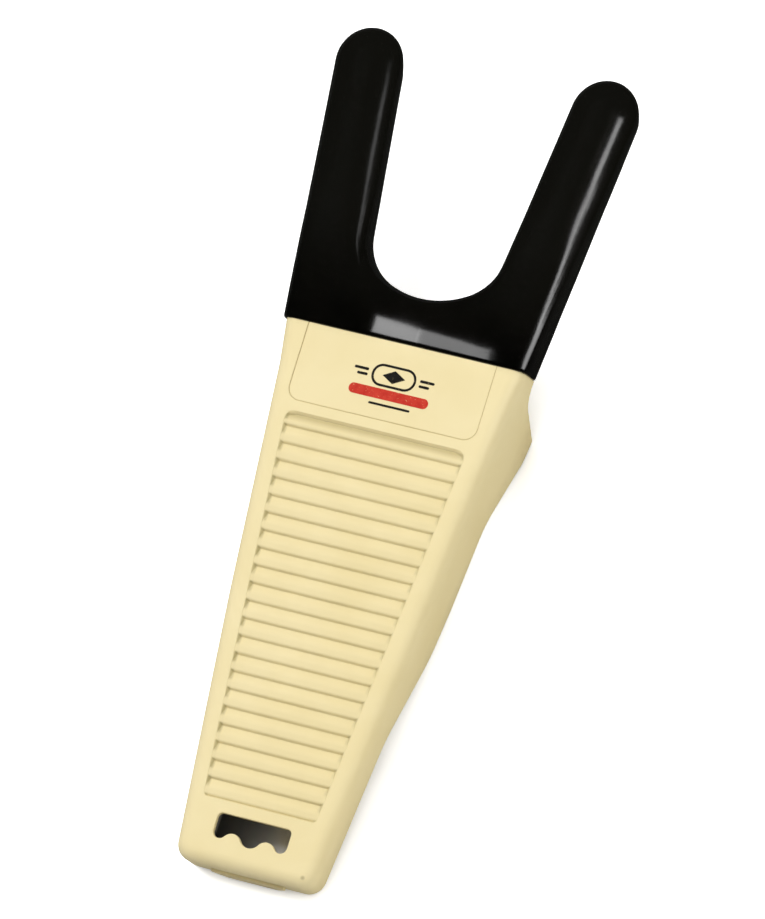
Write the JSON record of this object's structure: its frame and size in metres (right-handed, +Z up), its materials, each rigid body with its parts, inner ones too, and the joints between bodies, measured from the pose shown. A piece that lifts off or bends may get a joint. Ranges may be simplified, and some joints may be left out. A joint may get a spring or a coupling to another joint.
{
  "type": "boot jack",
  "caption": "Free-standing boot jack: hollow moulded body with ribbed foot tread and leg, and a U-shaped fork with a soft black cover that grips a boot heel.",
  "frame": {"origin": "on the floor, under the middle of the object's box", "axes": "+X across the jack, +Y along it from the tail to the fork, +Z up"},
  "size_m": [0.124, 0.321, 0.0526],
  "materials": {
    "body": "cream moulded plastic, satin",
    "cover": "black soft vinyl, glossy",
    "panel": "cream inset panel, smooth satin",
    "pad": "black rubber, matt"
  },
  "bodies": {
    "root": {"body_shell": "body", "fork_cover": "cover", "label_panel": "panel", "leg_pad_left": "pad", "leg_pad_right": "pad", "tail_pad": "pad"}
  },
  "joints": []
}
